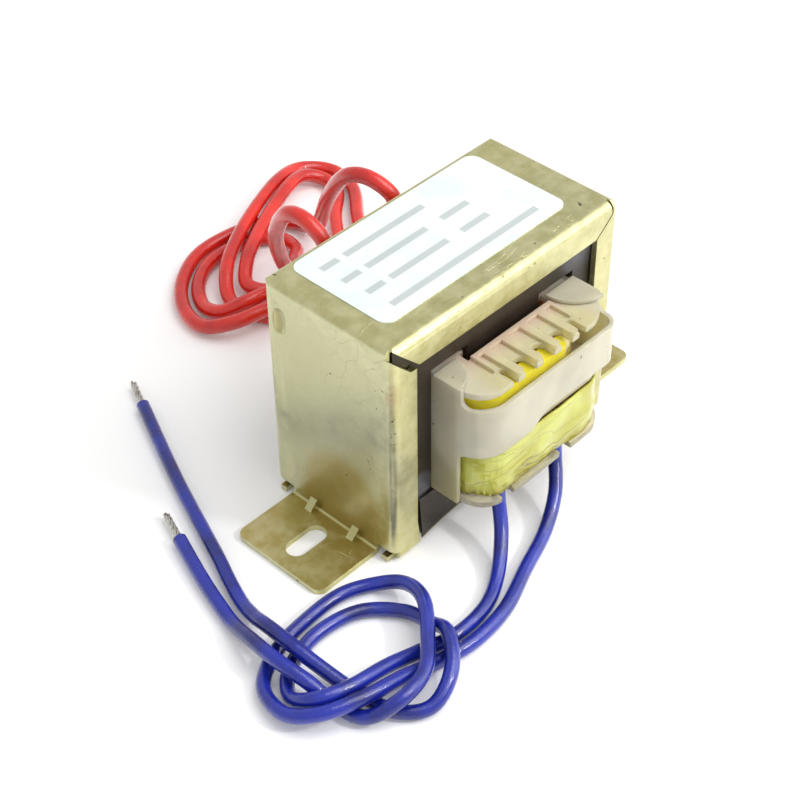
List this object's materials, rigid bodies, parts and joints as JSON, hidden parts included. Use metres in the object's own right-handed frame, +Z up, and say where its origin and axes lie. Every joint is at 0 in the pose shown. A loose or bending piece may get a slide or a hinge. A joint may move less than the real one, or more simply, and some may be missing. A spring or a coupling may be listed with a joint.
{
  "type": "laminated chassis transformer",
  "caption": "Small mains transformer: an interleaved steel core clamped in a folded bracket with slotted feet, windings on a two-chamber bobbin, and loose insulated leads.",
  "frame": {"origin": "centre of the transformer's plan, on the surface that its feet stand on (leads left out)", "axes": "+X along the two feet, +Y across the sheet stack from the front with the secondary leads to the back with the primary leads, +Z up"},
  "size_m": [0.1016, 0.111, 0.0426],
  "materials": {
    "bracket": "yellow passivated zinc on folded steel",
    "core": "dark oiled silicon steel sheets",
    "bobbin": "translucent natural nylon",
    "shroud": "translucent natural nylon",
    "copper": "enamelled copper wire",
    "yellow_tape": "yellow polyester tape",
    "olive_tape": "yellow polyester tape, greener over the lower winding",
    "label": "satin white label",
    "red_pvc": "glossy PVC",
    "blue_pvc": "glossy PVC",
    "solder": "tinned copper strands"
  },
  "bodies": {
    "root": {"bracket": "bracket", "e_laminations": "core", "i_laminations": "core", "bobbin": "bobbin", "shroud_front": "shroud", "shroud_back": "shroud", "primary_winding": "copper", "secondary_winding": "copper", "primary_tape": "yellow_tape", "secondary_tape": "olive_tape", "primary_splice_1": "solder", "primary_splice_2": "solder", "secondary_splice_1": "solder", "secondary_splice_2": "solder", "label": "label", "red_lead_1": "red_pvc", "red_lead_2": "red_pvc", "blue_lead_1": "blue_pvc", "blue_lead_2": "blue_pvc", "red_tip_1": "solder", "red_tip_2": "solder", "blue_tip_1": "solder", "blue_tip_2": "solder"}
  },
  "joints": []
}
